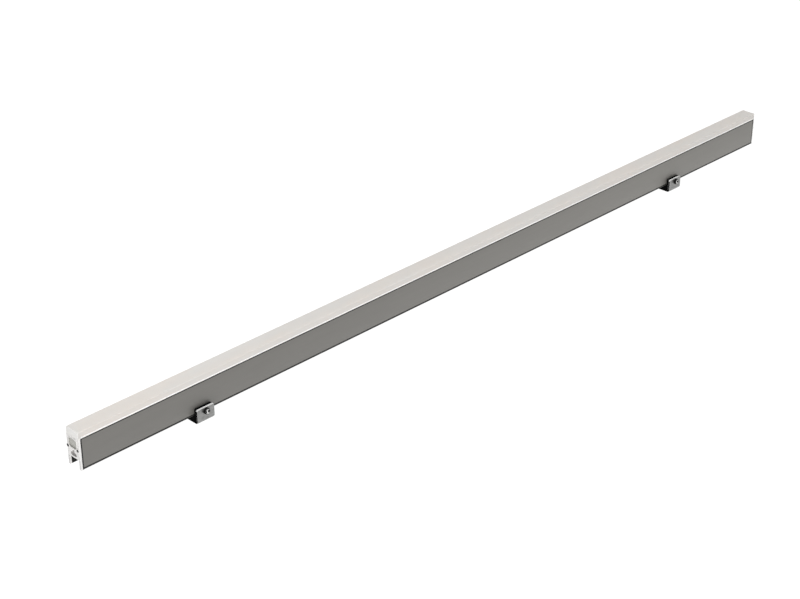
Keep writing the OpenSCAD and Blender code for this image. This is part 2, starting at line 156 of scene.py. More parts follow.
class Shader:
    """The node tree of one material."""

    def __init__(self, name: str) -> None:
        """Makes a material that holds only its surface.

        Args:
            name: The material's name.
        """
        self.material = bpy.data.materials.new(name)
        self.material.use_nodes = True
        self.tree = self.material.node_tree
        self.surface = next(n for n in self.tree.nodes if n.type == "BSDF_PRINCIPLED")

    def wire(self, node: bpy.types.Node, sockets: dict) -> None:
        """Sets inputs of a node, or links signals to them.

        Args:
            node: The node.
            sockets: Values or signals, by the input's name or number.
        """
        for key, value in sockets.items():
            if isinstance(value, Signal):
                self.tree.links.new(value.socket, node.inputs[key])
            else:
                node.inputs[key].default_value = value

    def feed(self, sockets: dict) -> None:
        """Sets or links inputs of the surface."""
        self.wire(self.surface, sockets)

    def node(self, kind: str, settings: dict, sockets: dict, output: int | str = 0) -> Signal:
        """Adds a node.

        Args:
            kind: The node's type.
            settings: What is set on the node itself.
            sockets: Values or signals for its inputs, by name or number.
            output: Which output is returned.

        Returns:
            The chosen output as a signal.
        """
        made = self.tree.nodes.new(kind)
        for key, value in settings.items():
            setattr(made, key, value)
        self.wire(made, sockets)
        return Signal(self, made.outputs[output])

    def place(self, stretch: Point = (1, 1, 1), shift: Point = (0, 0, 0)) -> Signal:
        """Gives the place on the object in millimetres.

        Args:
            stretch: How many times longer a pattern is along each axis.
            shift: Where the pattern's origin lies, in millimetres.

        Returns:
            The place as a vector signal.
        """
        scale = tuple(1 / (MM * s) for s in stretch)
        moved = tuple(-s / t for s, t in zip(shift, stretch))
        spot = self.node("ShaderNodeTexCoord", {}, {}, "Object")
        return self.node("ShaderNodeMapping", {}, {"Vector": spot, "Location": moved, "Scale": scale})

    def noise(self, size: float, stretch: Point = (1, 1, 1), detail: float = 2.0) -> Signal:
        """Gives noise from 0 to 1 with features of a size in millimetres."""
        return self.node("ShaderNodeTexNoise", {}, {"Vector": self.place(stretch), "Scale": 1 / size,
                                                     "Detail": detail, "Roughness": 0.55})

    def along(self, axis: int, shift: Point = (0, 0, 0)) -> Signal:
        """Gives one coordinate in millimetres, counted from a shift."""
        return self.node("ShaderNodeSeparateXYZ", {}, {0: self.place(shift=shift)}, axis)

    def tint(self, colour: Colour, strength: Value) -> Signal:
        """Multiplies a colour by a number."""
        return self.node("ShaderNodeVectorMath", {"operation": "SCALE"}, {0: colour, "Scale": strength})

    def blend(self, factor: Value, first: Colour, second: Colour) -> Signal:
        """Mixes two colours by a factor."""
        pair = [c if isinstance(c, Signal) else (*c, 1.0) for c in (first, second)]
        return self.node("ShaderNodeMix", {"data_type": "RGBA"}, {0: factor, 6: pair[0], 7: pair[1]}, 2)


@dataclass(frozen=True)
class Finish:
    """A procedural surface: a tone with soft clouds in it, a grain, and a gloss that follows the grain.

    The clouds have a size and a share of the tone. The grain has a size, a share and a depth.
    """

    name: str
    colour: Point
    roughness: float
    metallic: float = 0.0
    cloud: Pair = (14.0, 0.04)
    grain: Point = (0.4, 0.05, 0.01)
    stretch: Point = (1.0, 1.0, 1.0)
    gloss_share: float = 0.25
    bump: float = 0.6
    specular: float = 0.5
    coat: float = 0.0

    def tone(self, shader: Shader, strength: Signal) -> Signal:
        """Gives the surface's colour from the strength that clouds and grain leave."""
        return shader.tint(self.colour, strength)

    def relief(self, shader: Shader, grain: Signal) -> Signal:
        """Gives the height of the surface, as shares of the grain's depth."""
        return grain

    def extras(self) -> dict[str, float | Point]:
        """Gives the inputs that only some finishes set."""
        return {}

    def material(self) -> bpy.types.Material:
        """Makes the material, or finds the one made before.

        Returns:
            The material that carries this finish.
        """
        label = f"{self.name}_finish"
        if label in bpy.data.materials:
            return bpy.data.materials[label]
        shader = Shader(label)
        (cloud_size, cloud_share), (grain_size, grain_share, depth) = self.cloud, self.grain
        clouds = shader.noise(cloud_size, self.stretch, 3.0)
        grain = shader.noise(grain_size, self.stretch)
        strength = 1 + clouds.swing(cloud_share) + grain.swing(grain_share)
        shader.feed({
            "Base Color": self.tone(shader, strength),
            "Roughness": self.roughness * (1 + grain.swing(self.gloss_share)),
            "Metallic": self.metallic, "Specular IOR Level": self.specular, "Coat Weight": self.coat,
            "Normal": shader.node("ShaderNodeBump", {}, {"Strength": self.bump, "Distance": depth * MM,
                                                         "Height": self.relief(shader, grain)}),
            **self.extras()})
        return shader.material


@dataclass(frozen=True)
class Anodised(Finish):
    """Satin anodised extrusion: draw lines along the lamp, painted shade in its grooves, along its lowest edge and at
    both ends, a faint darker band, and a painted light gradient along the lamp.

    Line, step and band lie between two heights. Lip, cut, drift and streak end with their share of the tone.
    """

    # The line and the step are grooves that take painted shade where sunk into the wall
    line: Pair = (1.0, 2.2)
    step: Pair = (30.6, 31.6)
    sunk: float = 8.93
    groove_shade: float = 0.92
    band: Pair = (4.4, 5.6)
    band_edge: float = 0.5
    band_shade: float = 0.03
    # Painted shade along the legs' lowest edge, below a height
    lip: Pair = (1.25, 0.8)
    # Painted shade on the last stretch at both ends, beside the end caps
    cut: Pair = (496.7, 0.95)
    # Painted light: a gradient that lightens the tone towards the far end
    drift: Pair = (420.0, 0.13)
    streak: Point = (0.9, 400.0, 0.025)

    def tone(self, shader: Shader, strength: Signal) -> Signal:
        """Adds draw lines and a painted light gradient along the lamp, painted shade in grooves, on the lowest edge
        and at both ends, and a faint darker band.

        Args:
            shader: The material's nodes.
            strength: What clouds and grain leave of the tone.

        Returns:
            The colour.
        """
        z = shader.along(2, LAMP)
        sunk = abs(shader.along(1, LAMP)) < self.sunk
        grooves = z.within(*self.line) + z.within(*self.step)
        (low, high), edge = self.band, self.band_edge
        band = z.eased(low, low + edge) * (1 - z.eased(high - edge, high))
        size, stretch, share = self.streak
        streaks = shader.noise(size, (stretch, 1.0, 1.0)).swing(share)
        # Painted light gradient along the lamp
        reach, share = self.drift
        drift = 1 + shader.along(0).eased(-reach, reach).swing(share)
        # Painted shade in the grooves, and a faint darker band
        shaded = (strength + streaks) * (1 - sunk * grooves * self.groove_shade) * (1 - band * self.band_shade)
        # Painted shade on the last stretch at both ends and along the lowest edge
        ends = abs(shader.along(0)) > self.cut[0]
        shaded = shaded * (1 - (z < self.lip[0]) * self.lip[1]) * (1 - ends * self.cut[1]) * drift
        return shader.tint(self.colour, shaded)


@dataclass(frozen=True)
class Milky(Finish):
    """Opal cover: faint warm and cool drifts, a painted highlight along the foot, painted shade under it, and light
    that sinks in a little.

    The foot's painted highlight lies between two heights, and below it what is further out than where the painted
    shade starts is darker by a share.
    """

    foot: Pair = (31.72, 33.0)
    # Colour of the painted highlight along the foot
    foot_colour: Point = (0.97, 0.955, 0.935)
    # Painted shade under the foot: how far out from the middle it starts, and its share
    foot_shade: Pair = (8.4, 0.7)
    warm: Point = (0.745, 0.703, 0.660)
    drift: Point = (26.0, 0.35, 0.65)

    def tone(self, shader: Shader, strength: Signal) -> Signal:
        """Drifts between two tones, with a painted highlight on the foot and painted shade under it.

        Args:
            shader: The material's nodes.
            strength: What clouds and grain leave of the tone.

        Returns:
            The colour.
        """
        size, start, end = self.drift
        drift = shader.noise(size, (3.0, 1.0, 1.0), 3.0).eased(start, end)
        body = shader.blend(drift, self.colour, self.warm)
        z = shader.along(2, LAMP)
        # Painted highlight along the foot
        foot = z.within(*self.foot)
        # Painted shade under the foot
        under = (abs(shader.along(1, LAMP)) > self.foot_shade[0]) * (z < self.foot[0])
        return shader.tint(shader.blend(foot, body, self.foot_colour), strength * (1 - under * self.foot_shade[1]))

    def extras(self) -> dict[str, float | Point]:
        """Lets light sink into the surface."""
        return {"Subsurface Weight": 0.12, "Subsurface Radius": (1.0, 0.9, 0.8), "Subsurface Scale": 0.0012}


@dataclass(frozen=True)
class Moulded(Finish):
    """Moulded end piece: it turns to the cover's tone above the cover's seat, and its leg ends are greyer."""

    seat: float = 31.4
    upper: Point = (0.727, 0.705, 0.676)
    face: Point = (0.92, 0.905, 0.88)
    legs: Pair = (9.5, 0.0)
    end: float = 499.8

    def tone(self, shader: Shader, strength: Signal) -> Signal:
        """Gives the part above the seat its own tones, on end face and sides, and greys the legs' end faces.

        Args:
            shader: The material's nodes.
            strength: What clouds and grain leave of the tone.

        Returns:
            The colour.
        """
        z = shader.along(2, LAMP)
        end = abs(shader.along(0)) > self.end
        upper = shader.blend(end, self.upper, self.face)
        shade = 1 - (z < self.legs[0]) * end * self.legs[1]
        return shader.tint(shader.blend(z > self.seat, self.colour, upper), strength * shade)


@dataclass(frozen=True)
class Mask(Finish):
    """White solder mask over tracks that run along a board, with the heights of its grain and of the tracks."""

    outer_track: Pair = (3.2, 4.2)
    inner_track: Pair = (0.9, 1.7)
    heights: Pair = (0.4, 2.0)

    def relief(self, shader: Shader, grain: Signal) -> Signal:
        """Raises the tracks under the mask."""
        y, (fine, raised) = abs(shader.along(1, LAMP)), self.heights
        return grain * fine + (y.within(*self.outer_track) + y.within(*self.inner_track)) * raised


@dataclass(frozen=True)
class Phosphor(Finish):
    """LED package: white housing, warm phosphor under the lens."""

    housing: Point = (0.90, 0.89, 0.86)
    top: float = 31.2

    def tone(self, shader: Shader, strength: Signal) -> Signal:
        """Turns warm above the housing's top face."""
        warm = shader.along(2) > self.top
        return shader.tint(shader.blend(warm, self.housing, self.colour), strength)


@dataclass(frozen=True)
class Palette:
    """Every finish on the lamp."""

    anodised: Finish = Anodised("anodised_aluminium", (0.210, 0.203, 0.188), 0.5, 0.2, (9.0, 0.05),
                                (0.25, 0.05, 0.006), (6.0, 1.0, 1.0), specular=0.7)
    channel: Finish = Finish("channel_shade", (0.012, 0.012, 0.012), 0.7, grain=(0.4, 0.05, 0.004), specular=0.2)
    milky: Finish = Milky("milky_cover", (0.727, 0.705, 0.676), 0.34, 0.0, (40.0, 0.01), (0.6, 0.008, 0.002),
                          specular=0.35)
    white: Finish = Moulded("white_cap", (0.88, 0.865, 0.85), 0.48, 0.0, (3.0, 0.03), (0.35, 0.02, 0.012),
                            legs=(9.5, 0.22))
    gasket: Finish = Moulded("dark_gasket", (0.03, 0.03, 0.03), 0.85, grain=(0.5, 0.1, 0.03), specular=0.2)
    silicone: Finish = Finish("grey_silicone", (0.52, 0.515, 0.48), 0.62, 0.0, (4.0, 0.04), (0.3, 0.05, 0.01))
    black_screw: Finish = Finish("blackened_steel", (0.008, 0.007, 0.007), 0.5, grain=(0.2, 0.2, 0.01), specular=0.08)
    pocket: Finish = Finish("pocket_shade", (0.50, 0.485, 0.475), 0.6, 0.0, (2.0, 0.15), (0.3, 0.05, 0.012))
    rubber: Finish = Finish("black_rubber", (0.0025, 0.0025, 0.003), 0.9, 0.0, (5.0, 0.04), (0.35, 0.3, 0.03),
                            specular=0.04)
    brushed: Finish = Finish("brushed_steel", (0.285, 0.285, 0.28), 0.46, 0.7, (1.2, 0.5), (0.3, 0.2, 0.012),
                             (3.0, 1.0, 1.0))
    # Painted highlight on the bracket strip's outer cut edges and ear tops
    cut_edge: Finish = Finish("cut_steel_edge", (0.80, 0.80, 0.79), 0.42, 0.1, (2.0, 0.08), (0.15, 0.08, 0.01),
                              (3.0, 1.0, 1.0))
    polished: Finish = Finish("polished_steel", (0.36, 0.36, 0.355), 0.26, 0.9, (2.0, 0.04), (0.1, 0.04, 0.002))
    # Painted highlight: a glint on the middle arm of the clamp screw's recess
    glint: Finish = Finish("painted_glint", (0.93, 0.93, 0.92), 0.3, grain=(0.1, 0.03, 0.002))
    # Painted shade on the clamp screw's head: its side and the outer arms of its recess
    dark_steel: Finish = Finish("shaded_steel", (0.008, 0.008, 0.008), 0.5, grain=(0.15, 0.2, 0.01), specular=0.08)
    seal: Finish = Finish("cover_seal", (0.40, 0.40, 0.385), 0.7, grain=(0.4, 0.05, 0.015))
    mask: Finish = Mask("solder_mask", (0.80, 0.82, 0.80), 0.38, grain=(0.5, 0.02, 0.02))
    phosphor: Finish = Phosphor("led_package", (0.88, 0.66, 0.16), 0.3, grain=(0.2, 0.06, 0.01), coat=0.3)
    chip: Finish = Finish("moulded_chip", (0.018, 0.018, 0.02), 0.55, grain=(0.15, 0.25, 0.01))
    solder: Finish = Finish("tinned_solder", (0.62, 0.63, 0.64), 0.3, 1.0, (1.5, 0.12), (0.3, 0.05, 0.03))
    tape: Finish = Finish("thermal_tape", (0.36, 0.42, 0.50), 0.75, grain=(0.5, 0.08, 0.02))
    zinc: Finish = Finish("zinc_steel", (0.60, 0.61, 0.62), 0.34, 1.0, (2.0, 0.08), (0.15, 0.05, 0.01))
    nylon: Finish = Finish("terminal_nylon", (0.74, 0.72, 0.66), 0.5, 0.0, (4.0, 0.04), (0.3, 0.05, 0.015))
    brass: Finish = Finish("nickelled_brass", (0.62, 0.52, 0.30), 0.28, 1.0, grain=(0.15, 0.08, 0.01))
    red: Finish = Finish("red_insulation", (0.42, 0.02, 0.015), 0.45, 0.0, (5.0, 0.04), (0.25, 0.05, 0.01))
    black: Finish = Finish("black_insulation", (0.014, 0.014, 0.015), 0.45, 0.0, (5.0, 0.04), (0.25, 0.15, 0.01))


class Bench:
    """A workbench with its own origin: it takes millimetres and works with Blender's operators."""

    smooth_angle = math.radians(35)
    sharp_angle = math.radians(40)
    flat_angle = math.radians(1)

    def __init__(self, origin: Point) -> None:
        """Sets the bench up at a point of the model's frame, in millimetres."""
        self.origin = Vector(origin)

    def at(self, point: Sequence[float]) -> Vector:
        """Gives a point of the bench in metres of the model's frame."""
        return (Vector(point) + self.origin) * MM

    def hold(self, obj: Piece | None = None) -> None:
        """Deselects everything, then takes up one object.

        Args:
            obj: The object, or nothing.
        """
        bpy.ops.object.select_all(action="DESELECT")
        if obj:
            obj.select_set(True)
            bpy.context.view_layer.objects.active = obj

    def take(self, name: str, scale: Sequence[float] = (1, 1, 1)) -> Piece:
        """Names and scales the primitive that was just added, and puts its place into its mesh.

        Args:
            name: Its name.
            scale: Its scale along each of its own axes.

        Returns:
            The primitive.
        """
        obj = bpy.context.view_layer.objects.active
        obj.name = obj.data.name = name
        obj.scale = scale
        bpy.ops.object.transform_apply(location=True, rotation=True, scale=True)
        return obj

    @contextmanager
    def editing(self, obj: Piece, kind: Kind = Kind.FACE, test: Test | None = None) -> Iterator[None]:
        """Holds an object in edit mode, with all of it selected or what passes a test.

        Args:
            obj: The object.
            kind: Whether the test picks edges or faces.
            test: What pick takes.
        """
        self.hold(obj)
        bpy.ops.object.mode_set(mode="EDIT")
        bpy.ops.mesh.select_all(action="SELECT")
        if test:
            self.pick(obj, kind, test)
        yield
        bpy.ops.object.mode_set(mode="OBJECT")

    def pick(self, obj: Piece, kind: Kind, test: Test) -> None:
        """Selects, in edit mode, the edges or faces that pass a test.

        Args:
            obj: The object in edit mode.
            kind: Edges or faces.
            test: Takes a middle in bench millimetres, and a face's normal or an edge's direction.
        """
        bpy.ops.mesh.select_mode(type=kind.value)
        bpy.ops.mesh.select_all(action="DESELECT")
        mesh = bmesh.from_edit_mesh(obj.data)
        found = 0
        for item in mesh.faces if kind is Kind.FACE else mesh.edges:
            if kind is Kind.FACE:
                middle, way = item.calc_center_median(), item.normal
            else:
                first, last = (v.co for v in item.verts)
                middle, way = (first + last) / 2, (last - first).normalized()
            if test(middle / MM - self.origin, way):
                item.select_set(True)
                found += 1
        if not found:
            raise ValueError(f"{obj.name}: the pick found nothing")
        mesh.select_flush_mode()
        bmesh.update_edit_mesh(obj.data)

    def block(self, low: Point, high: Point) -> Piece:
        """Adds a cube primitive between two corners.

        Args:
            low: Its lowest corner.
            high: Its highest corner.

        Returns:
            The block.
        """
        self.hold()
        bpy.ops.mesh.primitive_cube_add(size=1, location=(self.at(low) + self.at(high)) / 2)
        return self.take("block", (Vector(high) - Vector(low)) * MM)

    def rod(self, start: Point, way: Point, length: float, radius: float, sides: int = 48) -> Piece:
        """Adds a cylinder primitive.

        Args:
            start: The middle of its first end.
            way: The direction of its axis.
            length: How long it is.
            radius: Its radius.
            sides: How many sides it has.

        Returns:
            The rod.
        """
        self.hold()
        turn = Vector(UPWARDS).rotation_difference(Vector(way)).to_euler()
        middle = Vector(start) + Vector(way).normalized() * length / 2
        bpy.ops.mesh.primitive_cylinder_add(vertices=sides, radius=radius * MM, depth=length * MM,
                                            location=self.at(middle), rotation=turn)
        return self.take("rod")

    def turned(self, name: str, base: Point, way: Point, rings: Rings, sides: int) -> Piece:
        """Draws a round piece out of a disc, ring by ring.

        Args:
            name: The piece's name.
            base: The point that distances are counted from.
            way: The direction of the axis.
            rings: Distance along the axis and radius of each ring.
            sides: Sides of the disc.

        Returns:
            The closed piece.
        """
        self.hold()
        axis = Vector(way).normalized()
        turn = Vector(UPWARDS).rotation_difference(axis).to_euler()
        bpy.ops.mesh.primitive_circle_add(vertices=sides, radius=rings[0][1] * MM, fill_type="NGON",
                                          location=self.at(Vector(base) + axis * rings[0][0]), rotation=turn)
        obj = self.take(name)
        with self.editing(obj):
            for (here, radius), (there, wider) in zip(rings, rings[1:]):
                bpy.ops.mesh.extrude_region_move(TRANSFORM_OT_translate={"value": axis * (there - here) * MM})
                if wider != radius:
                    bpy.ops.transform.resize(value=(wider / radius,) * 3,
                                             center_override=self.at(Vector(base) + axis * there))
            self.face_out()
        return obj

    def bar(self, name: str, ends: Pair, low: Pair, high: Pair, voids: Sequence[Box]) -> Piece:
        """Cuts a cross-section out of a plane and draws it out along X.

        Args:
            name: The piece's name.
            ends: Where the piece starts and ends along X.
            low: Lowest Y and Z of the section.
            high: Highest Y and Z of the section.
            voids: What is left out of the section, as low Y, low Z, high Y and high Z.

        Returns:
            The closed piece.
        """
        self.hold()
        middle = (ends[0], (low[0] + high[0]) / 2, (low[1] + high[1]) / 2)
        bpy.ops.mesh.primitive_plane_add(size=1, location=self.at(middle), rotation=(0, math.pi / 2, 0))
        obj = self.take(name, ((high[1] - low[1]) * MM, (high[0] - low[0]) * MM, 1))
        lines = {(axis, place) for void in voids for axis, place in zip((0, 1, 0, 1), void)
                 if low[axis] < place < high[axis]}
        with self.editing(obj):
            for axis, place in sorted(lines):
                bpy.ops.mesh.select_all(action="SELECT")
                bpy.ops.mesh.bisect(plane_co=self.at((0, place * (1 - axis), place * axis)),
                                    plane_no=(0, 1 - axis, axis))
            self.pick(obj, Kind.FACE, lambda c, n: any(v[0] < c.y < v[2] and v[1] < c.z < v[3] for v in voids))
            bpy.ops.mesh.delete(type="FACE")
            bpy.ops.mesh.select_all(action="SELECT")
            bpy.ops.mesh.dissolve_limited(angle_limit=self.flat_angle)
            bpy.ops.mesh.select_all(action="SELECT")
            bpy.ops.mesh.extrude_region_move(TRANSFORM_OT_translate={"value": ((ends[1] - ends[0]) * MM, 0, 0)})
            self.face_out()
        return obj

    def face_out(self) -> None:
        """Turns all faces of the mesh in edit mode outwards."""
        bpy.ops.mesh.select_all(action="SELECT")
        bpy.ops.mesh.normals_make_consistent(inside=False)

    def soften(self, obj: Piece, test: Test, width: float, segments: int = 4) -> None:
        """Rounds the edges that pass a test to a radius."""
        with self.editing(obj, Kind.EDGE, test):
            bpy.ops.mesh.bevel(offset=width * MM, segments=segments, affect="EDGES")

    def soften_sides(self, obj: Piece, width: float, segments: int, y: float, *heights: float) -> None:
        """Rounds the lengthwise edges at a distance from the middle plane, at some heights or at all."""
        self.soften(obj, lambda c, d: runs(d, 0) and near(abs(c.y), y) and (not heights or near(c.z, *heights)),
                    width, segments)

    def press(self, obj: Piece, test: Test, border: float, depth: float) -> None:
        """Insets the faces that pass a test by a border and sinks them by a depth."""
        with self.editing(obj, Kind.FACE, test):
            bpy.ops.mesh.inset(thickness=border * MM, depth=-depth * MM)

    def modify(self, obj: Piece, kind: str, **settings: object) -> None:
        """Adds a modifier and applies it.

        Args:
            obj: The piece.
            kind: The modifier's type.
            settings: What is set on it.
        """
        self.hold(obj)
        modifier = obj.modifiers.new(kind.lower(), kind)
        for key, value in settings.items():
            setattr(modifier, key, value)
        bpy.ops.object.modifier_apply(modifier=modifier.name)

    def combine(self, obj: Piece, joining: Joining, *tools: Piece) -> None:
        """Fuses tools to a piece or cuts them out of it, and clears them away.

        Args:
            obj: The piece.
            joining: Whether the tools are fused or cut.
            tools: The tools, in their order.
        """
        for tool in tools:
            self.modify(obj, "BOOLEAN", object=tool, operation=joining.value, solver="EXACT")
            bpy.data.objects.remove(tool)

    def bore(self, obj: Piece, start: Point, way: Point, length: float, radius: float, sides: int = 48) -> None:
        """Cuts a round hole from a point along a direction."""
        self.combine(obj, Joining.CUT, self.rod(start, way, length, radius, sides))

    def mill(self, obj: Piece, low: Point, high: Point) -> None:
        """Cuts out all between two corners."""
        self.combine(obj, Joining.CUT, self.block(low, high))

    def break_edges(self, obj: Piece, width: float) -> None:
        """Bevels every sharp edge a little."""
        self.modify(obj, "BEVEL", width=width * MM, segments=2, limit_method="ANGLE", angle_limit=self.sharp_angle)

    def copy(self, obj: Piece, name: str, shift: Point = (0, 0, 0), mirror: bool = False) -> Piece:
        """Copies a piece with its own mesh.

        Args:
            obj: The piece to copy.
            name: The copy's name.
            shift: How far the copy moves, in millimetres.
            mirror: Whether the copy is turned over at the model's middle, along X.

        Returns:
            The copy.
        """
        self.hold(obj)
        bpy.ops.object.duplicate(linked=False)
        twin = bpy.context.view_layer.objects.active
        twin.name = twin.data.name = name
        with self.editing(twin):
            if mirror:
                bpy.ops.transform.resize(value=(-1, 1, 1), center_override=(0, 0, 0))
                self.face_out()
            bpy.ops.transform.translate(value=Vector(shift) * MM)
        return twin

    def paint(self, obj: Piece, finish: Finish, *zones: tuple[Finish, Test]) -> None:
        """Gives a piece its finish, and another finish to each zone of faces.

        Args:
            obj: The piece.
            finish: Its finish.
            zones: Other finishes, each with the test that its faces pass.
        """
        obj.data.materials.clear()
        obj.data.materials.append(finish.material())
        for number, (other, test) in enumerate(zones, 1):
            obj.data.materials.append(other.material())
            with self.editing(obj, Kind.FACE, test):
                obj.active_material_index = number
                bpy.ops.object.material_slot_assign()

    def deliver(self, obj: Piece, body: str, slot: str, node: str) -> None:
        """Smooths a piece and hands it over.

        Args:
            obj: The piece.
            body: The body that it rides on.
            slot: Not used.
            node: The CAD node that it stands for.
        """
        self.hold(obj)
        bpy.ops.object.shade_smooth_by_angle(angle=self.smooth_angle)
        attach(obj, body)
        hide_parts(node)
        LOG.info("%s: %d faces on %s", obj.name, len(obj.data.polygons), body)

    def deliver_pair(self, obj: Piece, body: str, slot: str, node: str, shift: Point = (0, 0, 0),
                     mirror: bool = False) -> None:
        """Hands over a piece of the near end and a copy of it for the far end.

        Args:
            obj: The piece at the near end.
            body: The body that it rides on, with braces where the end is named.
            slot: The material slot's name, handed on to deliver.
            node: The CAD node that it stands for, with such braces.
            shift: How far the copy moves, in millimetres.
            mirror: Whether the copy is turned over at the model's middle.
        """
        stem = obj.name
        twin = self.copy(obj, f"{stem}_at_far_end", shift, mirror)
        obj.name = f"{stem}_at_near_end"
        for piece, end in ((obj, "near"), (twin, "far")):
            self.deliver(piece, body.format(end), slot, node.format(end))


@dataclass
class Assembly:
    """A sub-assembly of the lamp, with the finishes and the bench that it is made with."""

    paints: Palette
    bench: Bench = field(default_factory=lambda: Bench(LAMP))


@dataclass
class Housing(Assembly):
    """The aluminium extrusion: two legs beside an open channel, a wiring chamber, and a tray for the boards.

    The channel and the chamber give half their width, then heights. The port gives Y, Z and the radii of
    its boss and bore, and a hole gives its place and then its radius.
    """

    half_length: float = 497.7
    half_width: float = 9.0
    height: float = 31.5
    channel: Pair = (6.8, 9.4)
    chamber: Point = (7.4, 11.0, 19.4)
    tray_floor: float = 21.0
    step: Pair = (0.5, 0.8)
    line: Point = (0.4, 1.2, 2.0)
    barb_pocket: Pair = (28.6, 29.4)
    seal_groove: Pair = (30.1, 30.9)
    groove_depth: float = 0.5
    leg_edge: float = 0.5
    lip: float = 0.12
    port: Box = (7.0, 19.7, 1.9, 1.1)
    boards: int = 4
    board_start: float = -483.7
    board_pitch: float = 244.0
    led_pitch: float = 20.283
    screw_shares: tuple[int, ...] = (2, 6, 10)
    screw_bore: float = 1.3
    lead_hole: Point = (-488.7, 2.0, 1.0)
    cord_hole: Pair = (-453.7, 4.05)

    def section_voids(self) -> list[Box]:
        """Lists what the section leaves out.

        Returns:
            Rectangles of Y and Z.
        """
        w, top, (y, low, high), deep = self.half_width, self.height, self.chamber, self.groove_depth
        return [(-self.channel[0], -OVER, *self.channel), (-y, low, y, high), (-y, self.tray_floor, y, top + OVER),
                *both_sides(w - self.step[0], w + OVER, top - self.step[1], top + OVER),
                *both_sides(w - self.line[0], w + OVER, self.line[1], self.line[2]),
                *both_sides(y - OVER, y + deep, *self.barb_pocket),
                *both_sides(y - OVER, y + deep, *self.seal_groove)]

    def build(self) -> None:
        """Draws the section out along the lamp, adds the screw ports and cuts all its holes."""
        bench, half, w = self.bench, self.half_length, self.half_width
        body = bench.bar("housing", (-half, half), (-w, 0), (w, self.height), self.section_voids())
        bench.soften_sides(body, self.leg_edge, 4, w, 0)
        bench.soften_sides(body, self.lip, 2, w, self.line[1], self.line[2], self.height - self.step[1])
        y, z, boss, bore = self.port
        for side in SIDES:
            bench.combine(body, Joining.FUSE, bench.rod((-half, side * y, z), LENGTHWISE, 2 * half, boss))
        for side in SIDES:
            bench.bore(body, (-half - OVER, side * y, z), LENGTHWISE, 2 * (half + OVER), bore)
        lead_x, lead_y, lead_r = self.lead_hole
        holes = [(self.board_start + board * self.board_pitch + share * self.led_pitch, 0, self.screw_bore)
                 for board in range(self.boards) for share in self.screw_shares]
        holes += [(lead_x, side * lead_y, lead_r) for side in SIDES]
        low, thick = self.chamber[2], self.tray_floor - self.chamber[2]
        for x, y, radius in holes:
            bench.bore(body, (x, y, low - OVER), UPWARDS, thick + 2 * OVER, radius, 24)
        (x, radius), (wide, roof) = self.cord_hole, self.channel
        bench.bore(body, (x, 0, roof - OVER), UPWARDS, self.chamber[1] - roof + 2 * OVER, radius)
        reach = 2 * MARGIN
        bench.paint(body, self.paints.anodised,
                    (self.paints.channel, lambda c, n: abs(c.y) < wide + reach and c.z < roof + reach))
        bench.deliver(body, "lamp", "aluminium_profile", "housing_extrusion")


@dataclass
class Cover(Assembly):
    """The milky cover: rounded shoulders, a foot on the walls and two legs that snap inside them."""

    half_length: float = 497.7
    half_width: float = 8.5
    foot: Pair = (8.8, 32.3)
    low: float = 28.7
    seat: float = 31.5
    top: float = 38.5
    wall: Pair = (1.5, 1.6)
    leg: Pair = (6.3, 7.3)
    barb: Pair = (7.7, 29.3)
    shoulder: float = 0.8
    ceiling_round: float = 0.6
    foot_round: float = 0.15
    fillet: float = 0.2

    def build(self) -> None:
        """Draws the section out along the lamp and rounds its shoulders, foot and inner corners."""
        bench, half, w = self.bench, self.half_length, self.half_width
        inner, ceiling = w - self.wall[0], self.top - self.wall[1]
        (foot_y, foot_z), (leg_in, leg_out), (barb_y, barb_z) = self.foot, self.leg, self.barb
        voids = [(-leg_in, self.low - OVER, leg_in, ceiling), (-inner, foot_z, inner, ceiling),
                 *both_sides(w, foot_y + OVER, foot_z, self.top + OVER),
                 *both_sides(leg_out, barb_y, barb_z, self.seat),
                 *both_sides(barb_y, foot_y + OVER, self.low - OVER, self.seat)]
        cover = bench.bar("cover", (-half, half), (-foot_y, self.low), (foot_y, self.top), voids)
        bench.soften_sides(cover, self.shoulder, 6, w, self.top)
        bench.soften_sides(cover, self.ceiling_round, 4, inner, ceiling)
        bench.soften_sides(cover, self.foot_round, 3, foot_y)
        bench.soften_sides(cover, self.fillet, 3, w, foot_z)
        bench.paint(cover, self.paints.milky)
        bench.deliver(cover, "lamp", "milky_cover", "diffuser_cover")


